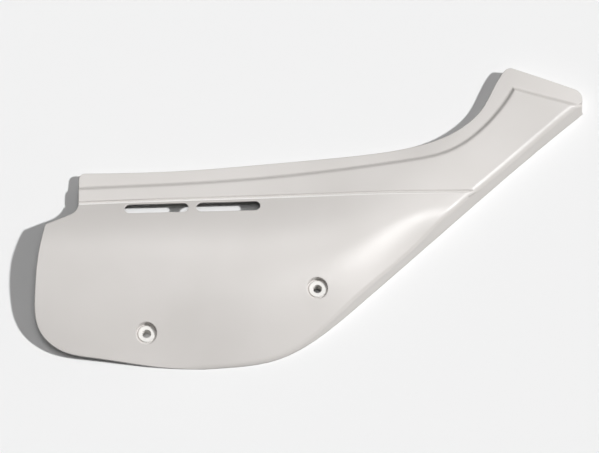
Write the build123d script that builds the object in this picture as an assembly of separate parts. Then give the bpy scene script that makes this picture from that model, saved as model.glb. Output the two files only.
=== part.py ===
from build123d import *
import os
from math import cos, radians, sin, tan

# Motorcycle side panel, outer face up, lying as it rests on a bench. Sizes are in millimetres.
# X runs to the rear along the panel, Y up towards the seat, Z out of the outer face.
# The origin is the lower end of the front bush's bore, in the plane that the panel rests on.

# Shell, rim and flank
wall = 2.5
step_depth = 2.8
step_angle = 45
step_radius = 3
flank_angle = 68
flank_radius = 7
flank_joggle = 1.6

# Groove along the crease
groove_width = 2.4
groove_floor = 1.0
groove_depth = 1.0
groove_lift = 6
groove_stations = 9

# Vent slots
slot_length = 62
slot_width = 10.4
slot_gap = 7.6
slot_start = (8.6, 125.5)
slot_tilt = 1.4
slot_count = 2

# Fixings
bore_diameter = 8.2
sleeve_diameter = 11
head_diameter = 16.4
head_height = 1.6
head_chamfer = 0.4
bush_length = 14
bush_clearance = 0.1
recess_diameter = 20
recess_wall = 2.5
front_fixing = (0, 0)
front_lift = 0
rear_fixing = (164.7, 43.6)
rear_lift = 5.6

# Cross-sections of the outer face, from the front to the rear at an even pitch. Each runs from beyond the rim,
# over the crease and the crest of the lobe, to a foot below the lower edge:
# rim y, rim z, band z, crease z, rise below the crease, crest y, crest z, foot y, foot z, slope at the foot
first_section = -140
section_pitch = 60
sections = [
    (186, 12.0, 13.6, 14.4, 0.40, 70, 27.8, -45, -4.4, 0.50),
    (186, 12.0, 13.7, 15.0, 0.46, 71, 30.6, -45, -0.5, 0.51),
    (187, 11.8, 14.0, 15.4, 0.50, 71, 32.1, -45, -1.1, 0.46),
    (189, 11.5, 14.3, 15.9, 0.46, 71, 32.5, -45, -4.2, 0.45),
    (194, 11.1, 14.7, 17.0, 0.34, 74, 31.5, -45, -4.8, 0.43),
    (200, 10.8, 15.2, 19.3, 0.24, 85, 29.5, -20, -1.0, 0.42),
    (208, 10.6, 16.4, 22.0, 0.14, 106, 26.5, 30, 3.0, 0.42),
    (222, 10.9, 17.2, 20.2, 0.03, 130, 20.2, 85, 5.0, 0.38),
    (272, 17.2, 17.0, 14.6, -0.10, 122, 11.3, 75, -2.0, 0.35),
    (278, 17.6, 16.8, 12.0, -0.10, 122, 9.0, 75, -3.0, 0.35),
    (282, 17.8, 16.4, 11.0, -0.10, 122, 8.0, 75, -3.0, 0.35),
]
base_z = -60
sky_z = 100

# Curves in plan, from the front to the rear
crease_points = [(-150, 128.2), (41, 136.5), (167, 139.9), (470, 151)]
step_points = [(-130, 141.5), (-66, 146.1), (41, 151.2), (157, 161), (247, 173.3), (289, 182.6), (319, 199),
               (337.6, 219.4), (357.7, 248.1)]
step_end = (445, 224)
foot_points = [(-80, -46), (20, -34), (80, -30.2), (111, -26.6), (142, -15.3), (197, 25.6), (301.5, 120.3),
               (381, 191.5), (445, 245)]
rim_points = [(-67.4, 163.9), (41, 167), (157, 177.2), (267, 193.2), (291, 201.7), (312, 214.9), (326, 229.4),
              (336.2, 248.5), (351.8, 272.4)]
arm_corner = (424.1, 247.3)
jog_corners = [(424.1, 230.2), (425.3, 228.8)]
lower_points = [(90, -31), (11.6, -30.3), (-50, -23), (-84, -15.5), (-102.8, 1.8), (-107.5, 37), (-105.4, 71),
                (-98.8, 107.6)]
neck_corner = (-67.4, 122)
lip_line = [(-67.4, 148), (300, 180), (424.1, 233)]
rim_radius = 6
arm_tip_radius = 7
arm_end_radius = 11
nose_radius = 4
neck_radius = 14
outline_margin = 30
curve_steps = 13


def flat(point):
    """The plan point below a point or a pair of sizes."""
    x, y = tuple(point)[:2]
    return Vector(x, y, 0)


def plan_curve(points):
    return Spline(*[flat(p) for p in points])


def section_wire(x, row, crease_y):
    """One closed cross-section of the outer form at x."""
    rim_y, rim_z, band_z, crease_z, rise, crest_y, crest_z, foot_y, foot_z, foot_slope = row
    rim = Vector(x, rim_y, rim_z)
    band = Vector(x, (rim_y + crease_y) / 2, band_z)
    crease = Vector(x, crease_y, crease_z)
    crest = Vector(x, crest_y, crest_z)
    foot = Vector(x, foot_y, foot_z)
    upper = Spline(rim, band, crease)
    lower = Spline(crease, crest, foot, tangents=[(0, -1, rise), (0, -1, 0), (0, -1, -foot_slope)])
    foot_base = Vector(x, foot_y, base_z)
    rim_base = Vector(x, rim_y, base_z)
    sides = [Line(foot, foot_base), Line(foot_base, rim_base), Line(rim_base, rim)]
    return Wire([upper, lower] + sides)


def make_face_form():
    """The solid under the outer face, before the rim is lowered and the flank cut."""
    crease = plan_curve(crease_points)
    wires = []
    for i, row in enumerate(sections):
        x = first_section + i * section_pitch
        crease_y = crease.find_intersection_points(Axis((x, 0, 0), (0, 1, 0)))[0].Y
        wires.append(section_wire(x, row, crease_y))
    return Solid.make_loft(wires, ruled=False)


def height_at(form, point):
    hits = form.find_intersection_points(Axis((point.X, point.Y, sky_z), (0, 0, -1)))
    return max(hit[0].Z for hit in hits)


def stations(curve, steps):
    """Points along a plan curve, each with its left-hand normal."""
    result = []
    for i in range(steps):
        point = curve @ (i / (steps - 1))
        tangent = curve % (i / (steps - 1))
        result.append((point, Vector(-tangent.Y, tangent.X, 0).normalized()))
    return result


def mitre(first, second):
    """The offset of a corner between sides with these two normals."""
    return (first + second) * (1 / (1 + first.dot(second)))


def cornered(curve, end):
    """Stations of a plan curve and of the straight line from its last point to the end."""
    marks = stations(curve, curve_steps)
    corner, normal = marks[-1]
    along = (end - corner).normalized()
    end_normal = Vector(-along.Y, along.X, 0)
    return marks[:-1] + [(corner, mitre(normal, end_normal)), (end, end_normal)]


def make_step_block(form, drop):
    """Keeps the raised face: its sloping side is the step down to the rim and the arm's end."""
    inset = drop * tan(radians(step_angle / 2))
    marks = cornered(plan_curve(step_points), flat(step_end))
    levels = [height_at(form, point) - drop for point, normal in marks]
    wires = []
    for z in (-8 - drop, 40 - drop):
        edge = [point + normal * ((level - z) / tan(radians(step_angle)) - inset) + Vector(0, 0, z)
                for (point, normal), level in zip(marks, levels)]
        far_rear = Vector(edge[-1].X, -90, z)
        far_front = Vector(edge[0].X, -90, z)
        sides = [Line(edge[-2], edge[-1]), Line(edge[-1], far_rear), Line(far_rear, far_front)]
        wires.append(Wire([Spline(*edge[:-1])] + sides + [Line(far_front, edge[0])]))
    return Solid.make_loft(wires, ruled=True)


def make_flank_block(inset):
    """Everything inside the steep flank that runs along the lower rear edge."""
    marks = stations(plan_curve(foot_points), curve_steps)
    wires = []
    for z in (-10, 60):
        edge = [point + normal * (inset + z / tan(radians(flank_angle))) + Vector(0, 0, z)
                for point, normal in marks]
        far_rear = Vector(edge[-1].X, 330, z)
        far_front = Vector(-150, 330, z)
        near_front = Vector(-150, edge[0].Y, z)
        sides = [Line(edge[-1], far_rear), Line(far_rear, far_front), Line(far_front, near_front)]
        wires.append(Wire([Spline(*edge)] + sides + [Line(near_front, edge[0])]))
    return Solid.make_loft(wires, ruled=True)


def edges_along(form, faces, shortest):
    """The edges of a form above the bench that run along one of these faces."""
    found = []
    for edge in form.edges():
        marks = [edge @ 0.1, edge @ 0.5, edge @ 0.9]
        if edge.length > shortest and all(mark.Z > 0 for mark in marks):
            if any(all(face.distance_to(mark) < 0.05 for mark in marks) for face in faces):
                found.append(edge)
    return found


def down(solid, distance):
    return solid.moved(Location((0, 0, -distance)))


def make_lowered(form, drop):
    """The face set down by the step, under the rim and the arm's end."""
    return down(form, step_depth + drop) & make_flank_block(drop / sin(radians(flank_angle)) + flank_joggle)


def make_body(form, drop):
    """The solid under the outer face, rim included, or under the inner face when drop is the wall."""
    flank = make_flank_block(drop / sin(radians(flank_angle)))
    block = make_step_block(form, drop)
    raised = down(form, drop) & block & flank
    lowered = make_lowered(form, drop)
    if drop > 0:
        return raised + lowered
    flank_side = max((face for face in flank.faces() if face.geom_type != GeomType.PLANE), key=lambda face: face.area)
    raised = raised.fillet(flank_radius, edges_along(raised, [flank_side], 60))
    step_sides = [face for face in block.faces() if face.center().Y > step_points[0][1]]
    raised = raised.fillet(step_radius, edges_along(raised, step_sides, 30))
    body = raised + lowered
    feet = [edge for edge in edges_along(body, step_sides, 30) if lowered.distance_to(edge @ 0.5) < 0.05]
    return body.fillet(step_radius, feet)


def make_outline():
    """The trimmed edge in plan. Along the flank it stays outside the foot, which trims itself on the bench."""
    rim = Spline(*[flat(p) for p in rim_points])
    lower = Spline(*[flat(p) for p in lower_points])
    nose = lower @ 1
    margin_y = lower_points[0][1] - outline_margin
    corners = [rim @ 1, flat(arm_corner), flat(jog_corners[0]), flat(jog_corners[1]),
               flat((jog_corners[1][0], margin_y)), flat((lower_points[0][0], margin_y)), lower @ 0]
    straight = [Line(a, b) for a, b in zip(corners, corners[1:])]
    front = [Line(nose, flat(neck_corner)), Line(flat(neck_corner), rim @ 0)]
    face = Face(Wire([rim] + straight + [lower] + front))
    rounds = [(rim @ 0, rim_radius), (rim @ 1, arm_tip_radius), (flat(arm_corner), arm_end_radius),
              (nose, nose_radius), (flat(neck_corner), neck_radius)]
    for point, radius in rounds:
        vertex = face.vertices().sort_by_distance(point)[0]
        face = face.fillet_2d(radius, [vertex])
    return face


def prism(face, low, high):
    return extrude(face.moved(Location((0, 0, low))), high - low, dir=(0, 0, 1))


def cylinder(point, diameter, low, high):
    return prism(Pos(point[0], point[1], 0) * Face(Wire.make_circle(diameter / 2)), low, high)


def make_strip(outline):
    """The plan of the rim's turned-down edge, one wall thick, from the front end round to the arm's end."""
    marks = cornered(plan_curve(rim_points), flat(arm_corner))
    marks[0] = (marks[0][0], mitre(Vector(-1, 0, 0), marks[0][1]))
    marks[-1] = (marks[-1][0], mitre(marks[-1][1], Vector(1, 0, 0)))
    inner = [point - normal * wall for point, normal in marks]
    below = [Vector(inner[-1].X, -outline_margin, 0), Vector(inner[0].X, -outline_margin, 0)]
    sides = [Line(inner[-2], inner[-1]), Line(inner[-1], below[0]), Line(below[0], below[1])]
    core = Face(Wire([Spline(*inner[:-1])] + sides + [Line(below[1], inner[0])]))
    for point, radius in ((inner[0], rim_radius), (inner[-2], arm_tip_radius), (inner[-1], arm_end_radius)):
        core = core.fillet_2d(radius - wall, [core.vertices().sort_by_distance(point)[0]])
    front, rear = lip_line[0], lip_line[-1]
    high = rear[1] + 10 * outline_margin
    corners = [(front[0] - outline_margin, front[1])] + lip_line[1:]
    corners += [(rear[0] + outline_margin, rear[1]), (rear[0] + outline_margin, high)]
    region = Face(Wire.make_polygon([flat(corner) for corner in corners + [(corners[0][0], high)]]))
    return (outline - core) & region


def slot_places():
    """Plan centres of the vent slots, in line along their own tilt."""
    pitch = slot_length + slot_gap
    start = flat(slot_start)
    along = Vector(cos(radians(slot_tilt)), sin(radians(slot_tilt)), 0)
    return [start + along * (pitch * i) for i in range(slot_count)]


def make_groove(form):
    """A thin groove along the crease of the face, narrower at its floor."""
    crease = plan_curve(crease_points)
    for edge in form.edges():
        marks = [edge @ 0.3, edge @ 0.7]
        if all(mark.Z > 0 and crease.distance_to(flat(mark)) < 1 for mark in marks):
            line = edge
    top = groove_width / 2
    low = groove_floor / 2
    rise = top - low
    profile = [(-top, groove_lift), (-top, rise - groove_depth), (-low, -groove_depth), (low, -groove_depth),
               (top, rise - groove_depth), (top, groove_lift)]
    wires = []
    for i in range(groove_stations):
        point = line @ (i / (groove_stations - 1))
        wires.append(Wire.make_polygon([point + Vector(0, y, z) for y, z in profile]))
    return Solid.make_loft(wires, ruled=False)


def make_panel():
    form = make_face_form()
    outline = make_outline()
    outer = make_body(form, 0)
    hollow = make_body(form, wall) - prism(make_strip(outline), 0, sky_z)
    shell = (outer & prism(outline, 0, sky_z)) - hollow
    for point, lift in ((front_fixing, front_lift), (rear_fixing, rear_lift)):
        seat = lift + bush_length - head_height
        shell = shell + (cylinder(point, recess_diameter + 2 * recess_wall, seat - recess_wall, sky_z) & outer)
        shell = shell - cylinder(point, recess_diameter, seat, sky_z)
        shell = shell - cylinder(point, sleeve_diameter + 2 * bush_clearance, 0, sky_z)
    for place in slot_places():
        slot = SlotOverall(slot_length, slot_width, rotation=slot_tilt).face()
        shell = shell - prism(Pos(place.X, place.Y, 0) * slot, 0, sky_z)
    return shell - make_groove(form)


def make_bush(point, lift):
    """A headed bush: the head sits on the recess floor and the sleeve goes down through it."""
    top = lift + bush_length
    head = cylinder(point, head_diameter, top - head_height, top)
    sleeve = cylinder(point, sleeve_diameter, lift, top - head_height)
    bush = head + sleeve - cylinder(point, bore_diameter, lift, top)
    rims = [edge for edge in bush.edges() if edge.geom_type == GeomType.CIRCLE and abs(edge.center().Z - top) < 0.01]
    return bush.chamfer(head_chamfer, head_chamfer, rims)


os.makedirs("parts", exist_ok=True)
export_step(make_panel(), "parts/side_panel.step")
export_step(make_bush(front_fixing, front_lift), "parts/front_bush.step")
export_step(make_bush(rear_fixing, rear_lift), "parts/rear_bush.step")
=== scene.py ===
import math

import bpy
from bpy.props import FloatProperty, FloatVectorProperty, PointerProperty
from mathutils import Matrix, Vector

bl_info = {
    "name": "Motorcycle side panel",
    "version": (1, 0, 0),
    "blender": (4, 5, 0),
    "location": "3D View > Sidebar > Side panel",
    "description": "Finishes the moulded side panel and its bushes, and sets the stage",
    "category": "Object",
}

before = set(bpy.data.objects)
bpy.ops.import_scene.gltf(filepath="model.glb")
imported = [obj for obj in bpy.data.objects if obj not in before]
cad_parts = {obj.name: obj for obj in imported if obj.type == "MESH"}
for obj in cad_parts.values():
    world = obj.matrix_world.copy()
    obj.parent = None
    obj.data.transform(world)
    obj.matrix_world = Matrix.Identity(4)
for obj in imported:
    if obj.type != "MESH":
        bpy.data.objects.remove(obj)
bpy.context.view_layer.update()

# Lengths are in metres unless a name says otherwise
# The point of the panel at the middle of the photo's frame
AIM = Vector((0.1474, 0.1084, 0.015))
SENSOR_MM = 36
CLIP_END = 100
# How far the floor lies under the panel, so that the two don't share a plane
FLOOR_DROP = 0.0002
# Brightness of the backdrop that the camera and the gloss see
BACKDROP = 0.92
# Directions towards the lamps. The low key gives the shadows, and the overhead softbox evens the light.
# The sheen on the band and the glint along the ridge show in the gloss alone.
KEY_FROM = Vector((0.68, -0.06, 0.73))
OVERHEAD_FROM = Vector((0.0, 0.0, 1.0))
SHEEN_FROM = Vector((0.12, 0.48, 0.87))
GLINT_FROM = Vector((0.40, -0.04, 0.91))

# The crease in plan: y is the sum of these times 1, x, x squared and x cubed
CREASE_CURVE = (0.13516, 0.03486, -0.05890, 0.12005)
# Where along the panel the painted highlight under the crease starts to fade, and where it is gone
LIP_FADE = (0.13, 0.32)
# Upward parts of a face's direction between which the darker colour of the underside, a painted shade, gives way to
# the paint
UNDERSIDE_SHADE_LIMITS = (-0.25, -0.15)
# Patches of thin and thick coat to one patch of tone
COATS_PER_TONE = 2.3
PAINT_ROUGHNESS_DRIFT = 0.05
NYLON_ROUGHNESS_DRIFT = 0.06
BEVEL_SAMPLES = 6
FLOW_DEPTH = 0.00001
FIBRES_PER_METRE = 900.0
FIBRE_DEPTH = 0.00005
ABS_PAINT_IOR = 1.5
NYLON_IOR = 1.53

# Sockets of a Mix node that is set to mix colours, where several share a name
FACTOR, COLOUR_A, COLOUR_B, MIXED = 0, 6, 7, 2


def linear(code):
    """An sRGB hex colour as linear RGB."""
    values = [int(code[i:i + 2], 16) / 255 for i in (1, 3, 5)]
    return [v / 12.92 if v <= 0.04045 else ((v + 0.055) / 1.055) ** 2.4 for v in values]


def add_node(tree, kind, settings=None, links=None):
    """A node with its properties or input values set, and its inputs linked from other nodes' outputs."""
    node = tree.nodes.new(kind)
    for key, value in (settings or {}).items():
        if isinstance(key, str) and hasattr(node, key):
            setattr(node, key, value)
        else:
            node.inputs[key].default_value = value
    for key, output in (links or {}).items():
        tree.links.new(output, node.inputs[key])
    return node


def new_material(name):
    """An empty node material and its tree."""
    material = bpy.data.materials.new(name)
    material.use_nodes = True
    material.node_tree.nodes.clear()
    return material, material.node_tree


def dress(node_name, material):
    """Gives a CAD node its finish."""
    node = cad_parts[node_name]
    node.data.materials.clear()
    node.data.materials.append(material)


def seen_directly(tree):
    """1 for the rays of the camera, of gloss and of clear matter, and 0 for those that light the part."""
    ray = add_node(tree, "ShaderNodeLightPath")
    glossy = add_node(tree, "ShaderNodeMath", {"operation": "MAXIMUM"},
                      {0: ray.outputs["Is Glossy Ray"], 1: ray.outputs["Is Transmission Ray"]})
    return add_node(tree, "ShaderNodeMath", {"operation": "MAXIMUM"},
                    {0: ray.outputs["Is Camera Ray"], 1: glossy.outputs["Value"]}).outputs["Value"]


def painted_crease_highlight(tree, place, finish):
    """A painted highlight: how strongly a thin pale line shows along the lower lip of the crease's groove."""
    axes = add_node(tree, "ShaderNodeSeparateXYZ", {}, {"Vector": place})
    x = axes.outputs["X"]
    constant, slope, square, cube = CREASE_CURVE
    line = add_node(tree, "ShaderNodeMath", {"operation": "MULTIPLY_ADD", 1: cube, 2: square}, {0: x})
    for term in (slope, constant):
        line = add_node(tree, "ShaderNodeMath", {"operation": "MULTIPLY_ADD", 2: term},
                        {0: line.outputs["Value"], 1: x})
    below = add_node(tree, "ShaderNodeMath", {"operation": "SUBTRACT"},
                     {0: line.outputs["Value"], 1: axes.outputs["Y"]})
    on_line = add_node(tree, "ShaderNodeMath",
                       {"operation": "COMPARE", 1: finish.lip_offset, 2: finish.lip_width / 2},
                       {0: below.outputs["Value"]})
    fade = add_node(tree, "ShaderNodeMapRange",
                    {"From Min": LIP_FADE[0], "From Max": LIP_FADE[1], "To Min": finish.highlight_strength, "To Max": 0.0},
                    {"Value": x})
    return add_node(tree, "ShaderNodeMath", {"operation": "MULTIPLY"},
                    {0: on_line.outputs["Value"], 1: fade.outputs["Result"]}).outputs["Value"]


def painted_abs(finish):
    """Injection-moulded ABS under a thin grey-white paint: satin to glossy, with a faint orange peel."""
    material, tree = new_material("painted_abs")
    place = add_node(tree, "ShaderNodeTexCoord").outputs["Object"]
    # Broad drifts in the paint's tone, a hand's width apart
    drift = add_node(tree, "ShaderNodeTexNoise",
                     {"Scale": 1 / finish.tone_patch, "Detail": 2.0, "Roughness": 0.5}, {"Vector": place})
    tones = add_node(tree, "ShaderNodeMix",
                     {"data_type": "RGBA", COLOUR_A: (*finish.colour_dark, 1), COLOUR_B: (*finish.colour_light, 1)},
                     {FACTOR: drift.outputs["Fac"]})
    # Thin and thick coats take the polish differently
    coat = add_node(tree, "ShaderNodeTexNoise",
                    {"Scale": COATS_PER_TONE / finish.tone_patch, "Detail": 4.0, "Roughness": 0.6},
                    {"Vector": place})
    rough = add_node(tree, "ShaderNodeMapRange",
                     {"To Min": finish.roughness - PAINT_ROUGHNESS_DRIFT,
                      "To Max": finish.roughness + PAINT_ROUGHNESS_DRIFT}, {"Value": coat.outputs["Fac"]})
    peel = add_node(tree, "ShaderNodeTexNoise",
                    {"Scale": 1 / finish.peel_spacing, "Detail": 3.0, "Roughness": 0.55}, {"Vector": place})
    # The mould's corners and trimmed edges are a little rounded
    edges = add_node(tree, "ShaderNodeBevel", {"samples": BEVEL_SAMPLES, "Radius": finish.edge_radius})
    bump = add_node(tree, "ShaderNodeBump", {"Strength": 1.0, "Distance": finish.peel_depth},
                    {"Height": peel.outputs["Fac"], "Normal": edges.outputs["Normal"]})
    # A painted highlight: the groove's lower lip is drawn as a paler line
    highlighted = add_node(tree, "ShaderNodeMix", {"data_type": "RGBA", COLOUR_B: (*finish.colour_painted_highlight, 1)},
                      {FACTOR: painted_crease_highlight(tree, place, finish), COLOUR_A: tones.outputs[MIXED]})
    # Painted shade: faces that look down get a darker colour than the paint on top
    facing = add_node(tree, "ShaderNodeNewGeometry")
    height = add_node(tree, "ShaderNodeSeparateXYZ", {}, {"Vector": facing.outputs["True Normal"]})
    painted = add_node(tree, "ShaderNodeMapRange", {"From Min": UNDERSIDE_SHADE_LIMITS[0], "From Max": UNDERSIDE_SHADE_LIMITS[1]},
                       {"Value": height.outputs["Z"]})
    body = add_node(tree, "ShaderNodeMix", {"data_type": "RGBA", COLOUR_A: (*finish.colour_shaded_underside, 1)},
                    {FACTOR: painted.outputs["Result"], COLOUR_B: highlighted.outputs[MIXED]})
    shader = add_node(tree, "ShaderNodeBsdfPrincipled", {"IOR": ABS_PAINT_IOR},
                      {"Base Color": body.outputs[MIXED], "Roughness": rough.outputs["Result"],
                       "Normal": bump.outputs["Normal"]})
    add_node(tree, "ShaderNodeOutputMaterial", {}, {"Surface": shader.outputs["BSDF"]})
    return material


def natural_nylon(finish):
    """Moulded natural nylon: milky white, and waxy rather than glossy, with faint flow marks."""
    material, tree = new_material("natural_nylon")
    place = add_node(tree, "ShaderNodeTexCoord").outputs["Object"]
    flow = add_node(tree, "ShaderNodeTexNoise", {"Scale": 1 / finish.flow_spacing, "Detail": 3.0},
                    {"Vector": place})
    rough = add_node(tree, "ShaderNodeMapRange",
                     {"To Min": finish.roughness - NYLON_ROUGHNESS_DRIFT,
                      "To Max": finish.roughness + NYLON_ROUGHNESS_DRIFT}, {"Value": flow.outputs["Fac"]})
    bump = add_node(tree, "ShaderNodeBump", {"Strength": 1.0, "Distance": FLOW_DEPTH},
                    {"Height": flow.outputs["Fac"]})
    shader = add_node(tree, "ShaderNodeBsdfPrincipled", {"Base Color": (*finish.colour, 1), "IOR": NYLON_IOR},
                      {"Roughness": rough.outputs["Result"], "Normal": bump.outputs["Normal"]})
    add_node(tree, "ShaderNodeOutputMaterial", {}, {"Surface": shader.outputs["BSDF"]})
    return material


def paper_floor(stage):
    """A roll of matt studio paper: even, pale and without gloss."""
    material, tree = new_material("studio_paper")
    place = add_node(tree, "ShaderNodeTexCoord").outputs["Object"]
    fibre = add_node(tree, "ShaderNodeTexNoise", {"Scale": FIBRES_PER_METRE, "Detail": 2.0}, {"Vector": place})
    bump = add_node(tree, "ShaderNodeBump", {"Strength": 0.1, "Distance": FIBRE_DEPTH},
                    {"Height": fibre.outputs["Fac"]})
    # The paper is pale to the eye and to the gloss, and throws back less light on to the part
    tone = add_node(tree, "ShaderNodeMix",
                    {"data_type": "RGBA", COLOUR_A: (*stage.bounce_colour, 1), COLOUR_B: (*stage.floor_colour, 1)},
                    {FACTOR: seen_directly(tree)})
    shader = add_node(tree, "ShaderNodeBsdfPrincipled", {"Roughness": 0.95, "Specular IOR Level": 0.0},
                      {"Base Color": tone.outputs[MIXED], "Normal": bump.outputs["Normal"]})
    add_node(tree, "ShaderNodeOutputMaterial", {}, {"Surface": shader.outputs["BSDF"]})
    return material


class PanelFinish(bpy.types.PropertyGroup):
    colour_light: FloatVectorProperty(name="Light tone", description="Paint colour where the coat is thick",
                                      subtype="COLOR", default=linear("#D3CFCC"))
    colour_dark: FloatVectorProperty(name="Dark tone", description="Paint colour where the coat is thin",
                                     subtype="COLOR", default=linear("#CAC6C2"))
    # The painted highlight along the crease's lower lip: its colour here, and its place, width and strength in the
    # lip settings
    colour_painted_highlight: FloatVectorProperty(name="Highlight", description="Colour where the paint is rubbed",
                                       subtype="COLOR", default=linear("#FBF9F6"))
    # Darker colour for faces that look down: painted shade
    colour_shaded_underside: FloatVectorProperty(name="Inside", description="Colour of the shaded plastic behind",
                                       subtype="COLOR", default=linear("#C4C0BC"))
    lip_offset: FloatProperty(name="Lip offset", description="From the crease to the rubbed line below it",
                              unit="LENGTH", default=0.0015)
    lip_width: FloatProperty(name="Lip width", description="Width of the rubbed line", unit="LENGTH",
                             default=0.0021, min=0)
    highlight_strength: FloatProperty(name="Lip shine", description="How much of the rubbed colour shows",
                            subtype="FACTOR", default=1.0, min=0, max=1)
    roughness: FloatProperty(name="Roughness", description="Middle roughness of the paint", subtype="FACTOR",
                             default=0.36, min=0.05, max=1)
    edge_radius: FloatProperty(name="Edge radius", description="Rounding of the corners and trimmed edges",
                               unit="LENGTH", default=0.0012, min=0)
    tone_patch: FloatProperty(name="Tone patch", description="Distance over which the tone drifts",
                              unit="LENGTH", default=0.07, min=0.005)
    peel_spacing: FloatProperty(name="Peel spacing", description="Distance between the bumps of the peel",
                                unit="LENGTH", default=0.0025, min=0.0002)
    peel_depth: FloatProperty(name="Peel depth", description="Height of the orange peel", unit="LENGTH",
                              default=0.00003, min=0)


class BushFinish(bpy.types.PropertyGroup):
    colour: FloatVectorProperty(name="Colour", description="Colour of the nylon", subtype="COLOR",
                                default=linear("#E6E4E0"))
    roughness: FloatProperty(name="Roughness", description="Middle roughness of the nylon", subtype="FACTOR",
                             default=0.42, min=0.05, max=1)
    flow_spacing: FloatProperty(name="Flow spacing", description="Width of the flow marks from moulding",
                                unit="LENGTH", default=0.002, min=0.0002)


class StageSettings(bpy.types.PropertyGroup):
    floor_colour: FloatVectorProperty(name="Floor colour", description="Colour of the studio paper",
                                      subtype="COLOR", default=linear("#F4F4F4"))
    bounce_colour: FloatVectorProperty(name="Bounce colour",
                                       description="Floor colour that lights the part from below",
                                       subtype="COLOR", default=linear("#B6B6B6"))
    floor_width: FloatProperty(name="Floor width", description="Width of the floor", unit="LENGTH", default=40)
    key_strength: FloatProperty(name="Key strength", description="Strength of the low sun-like key light",
                                default=2.84, min=0)
    key_softness: FloatProperty(name="Key softness", description="Angle that the key light covers",
                                subtype="ANGLE", default=math.radians(3))
    overhead_strength: FloatProperty(name="Overhead strength", description="Strength of the overhead softbox",
                                     default=0.75, min=0)
    overhead_softness: FloatProperty(name="Overhead softness", description="Angle that the softbox covers",
                                     subtype="ANGLE", default=math.radians(30))
    sheen_strength: FloatProperty(name="Sheen strength", description="Strength of the softbox in the gloss",
                                  default=0.8, min=0)
    sheen_softness: FloatProperty(name="Sheen softness", description="Angle that the sheen lamp covers",
                                  subtype="ANGLE", default=math.radians(30))
    glint_strength: FloatProperty(name="Glint strength", description="Strength of the lamp for the ridge",
                                  default=1.6, min=0)
    glint_softness: FloatProperty(name="Glint softness", description="Angle that the glint lamp covers",
                                  subtype="ANGLE", default=math.radians(14))
    fill_strength: FloatProperty(name="Fill strength", description="Strength of the light from all round",
                                 default=0.08, min=0)
    camera_elevation: FloatProperty(name="Camera elevation", description="Camera's angle above the floor",
                                    subtype="ANGLE", default=math.radians(72))
    camera_distance: FloatProperty(name="Camera distance", description="From the camera to the aim",
                                   unit="LENGTH", default=5.0, min=0.5)
    frame_span: FloatProperty(name="Frame span", description="Width that the frame takes in at the aim",
                              unit="LENGTH", default=0.581, min=0.05)


class SIDEPANEL_OT_panel(bpy.types.Operator):
    """Paint the moulded panel"""
    bl_idname = "sidepanel.panel"
    bl_label = "Paint the panel"

    def execute(self, context):
        dress("side_panel", painted_abs(context.scene.sidepanel_finish))
        return {"FINISHED"}


class SIDEPANEL_OT_bushes(bpy.types.Operator):
    """Finish the two fixing bushes"""
    bl_idname = "sidepanel.bushes"
    bl_label = "Finish the bushes"

    def execute(self, context):
        nylon = natural_nylon(context.scene.sidepanel_bushes)
        for name in ("front_bush", "rear_bush"):
            dress(name, nylon)
        return {"FINISHED"}


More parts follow.
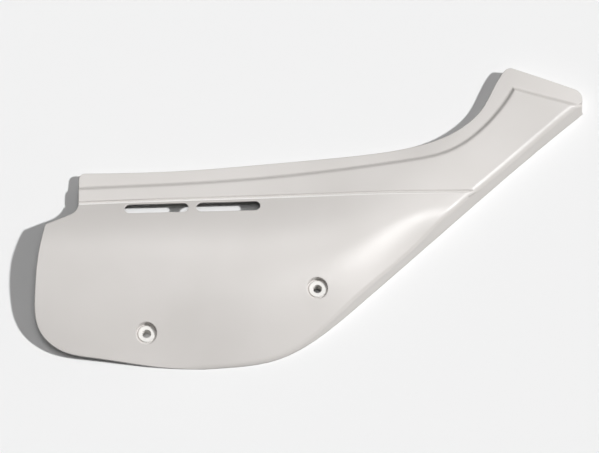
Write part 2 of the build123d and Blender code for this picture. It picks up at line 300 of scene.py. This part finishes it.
class SIDEPANEL_OT_stage(bpy.types.Operator):
    """Lay the floor, light it and place the camera"""
    bl_idname = "sidepanel.stage"
    bl_label = "Set the stage"

    def execute(self, context):
        stage = context.scene.sidepanel_stage
        bpy.ops.object.select_all(action="DESELECT")
        bpy.ops.mesh.primitive_plane_add(size=stage.floor_width, location=(AIM.x, AIM.y, -FLOOR_DROP))
        floor = context.object
        floor.name = "floor"
        floor.data.materials.append(paper_floor(stage))
        self.hang_lamp(context, "key_light", KEY_FROM, stage.key_strength, stage.key_softness)
        overhead = self.hang_lamp(context, "overhead_light", OVERHEAD_FROM, stage.overhead_strength,
                                  stage.overhead_softness)
        overhead.visible_glossy = False
        sheen = self.hang_lamp(context, "sheen_light", SHEEN_FROM, stage.sheen_strength, stage.sheen_softness)
        sheen.visible_diffuse = False
        glint = self.hang_lamp(context, "glint_light", GLINT_FROM, stage.glint_strength, stage.glint_softness)
        glint.visible_diffuse = False
        self.light_world(context, stage)
        self.place_camera(context, stage)
        context.scene.view_settings.view_transform = "Standard"
        return {"FINISHED"}

    @staticmethod
    def hang_lamp(context, name, direction, strength, softness):
        """A far lamp that shines from a direction, as wide as its softness."""
        bpy.ops.object.light_add(type="SUN", location=AIM + direction.normalized())
        lamp = context.object
        lamp.name = name
        lamp.data.energy = strength
        lamp.data.angle = softness
        lamp.rotation_euler = direction.to_track_quat("Z", "Y").to_euler()
        return lamp

    @staticmethod
    def light_world(context, stage):
        """An even fill, and a white backdrop for what the camera and the gloss see."""
        world = bpy.data.worlds.new("studio")
        context.scene.world = world
        world.use_nodes = True
        tree = world.node_tree
        tree.nodes.clear()
        strength = add_node(tree, "ShaderNodeMapRange", {"To Min": stage.fill_strength, "To Max": BACKDROP},
                            {"Value": seen_directly(tree)})
        sky = add_node(tree, "ShaderNodeBackground", {"Color": (1, 1, 1, 1)},
                       {"Strength": strength.outputs["Result"]})
        add_node(tree, "ShaderNodeOutputWorld", {}, {"Surface": sky.outputs["Background"]})

    @staticmethod
    def place_camera(context, stage):
        """The photo's camera: straight in front, looking down at the aim."""
        elevation = stage.camera_elevation
        back = Vector((0, -math.cos(elevation), math.sin(elevation)))
        bpy.ops.object.camera_add(location=AIM + back * stage.camera_distance)
        camera = context.object
        camera.name = "photo_camera"
        camera.rotation_euler = back.to_track_quat("Z", "Y").to_euler()
        camera.data.sensor_width = SENSOR_MM
        camera.data.lens = SENSOR_MM * stage.camera_distance / stage.frame_span
        camera.data.clip_end = CLIP_END
        context.scene.camera = camera


class SIDEPANEL_PT_tools(bpy.types.Panel):
    """The panel's finishes and its stage"""
    bl_label = "Side panel"
    bl_idname = "SIDEPANEL_PT_tools"
    bl_space_type = "VIEW_3D"
    bl_region_type = "UI"
    bl_category = "Side panel"

    def draw(self, context):
        groups = (("sidepanel_finish", SIDEPANEL_OT_panel), ("sidepanel_bushes", SIDEPANEL_OT_bushes),
                  ("sidepanel_stage", SIDEPANEL_OT_stage))
        for name, operator in groups:
            box = self.layout.box()
            settings = getattr(context.scene, name)
            for key in settings.__annotations__:
                box.prop(settings, key)
            box.operator(operator.bl_idname)


CLASSES = (PanelFinish, BushFinish, StageSettings, SIDEPANEL_OT_panel, SIDEPANEL_OT_bushes, SIDEPANEL_OT_stage,
           SIDEPANEL_PT_tools)


def register():
    for cls in CLASSES:
        bpy.utils.register_class(cls)
    bpy.types.Scene.sidepanel_finish = PointerProperty(type=PanelFinish)
    bpy.types.Scene.sidepanel_bushes = PointerProperty(type=BushFinish)
    bpy.types.Scene.sidepanel_stage = PointerProperty(type=StageSettings)


def unregister():
    del bpy.types.Scene.sidepanel_stage
    del bpy.types.Scene.sidepanel_bushes
    del bpy.types.Scene.sidepanel_finish
    for cls in reversed(CLASSES):
        bpy.utils.unregister_class(cls)


def main():
    register()
    bpy.ops.sidepanel.panel()
    bpy.ops.sidepanel.bushes()
    bpy.ops.sidepanel.stage()


if __name__ == "__main__":
    main()
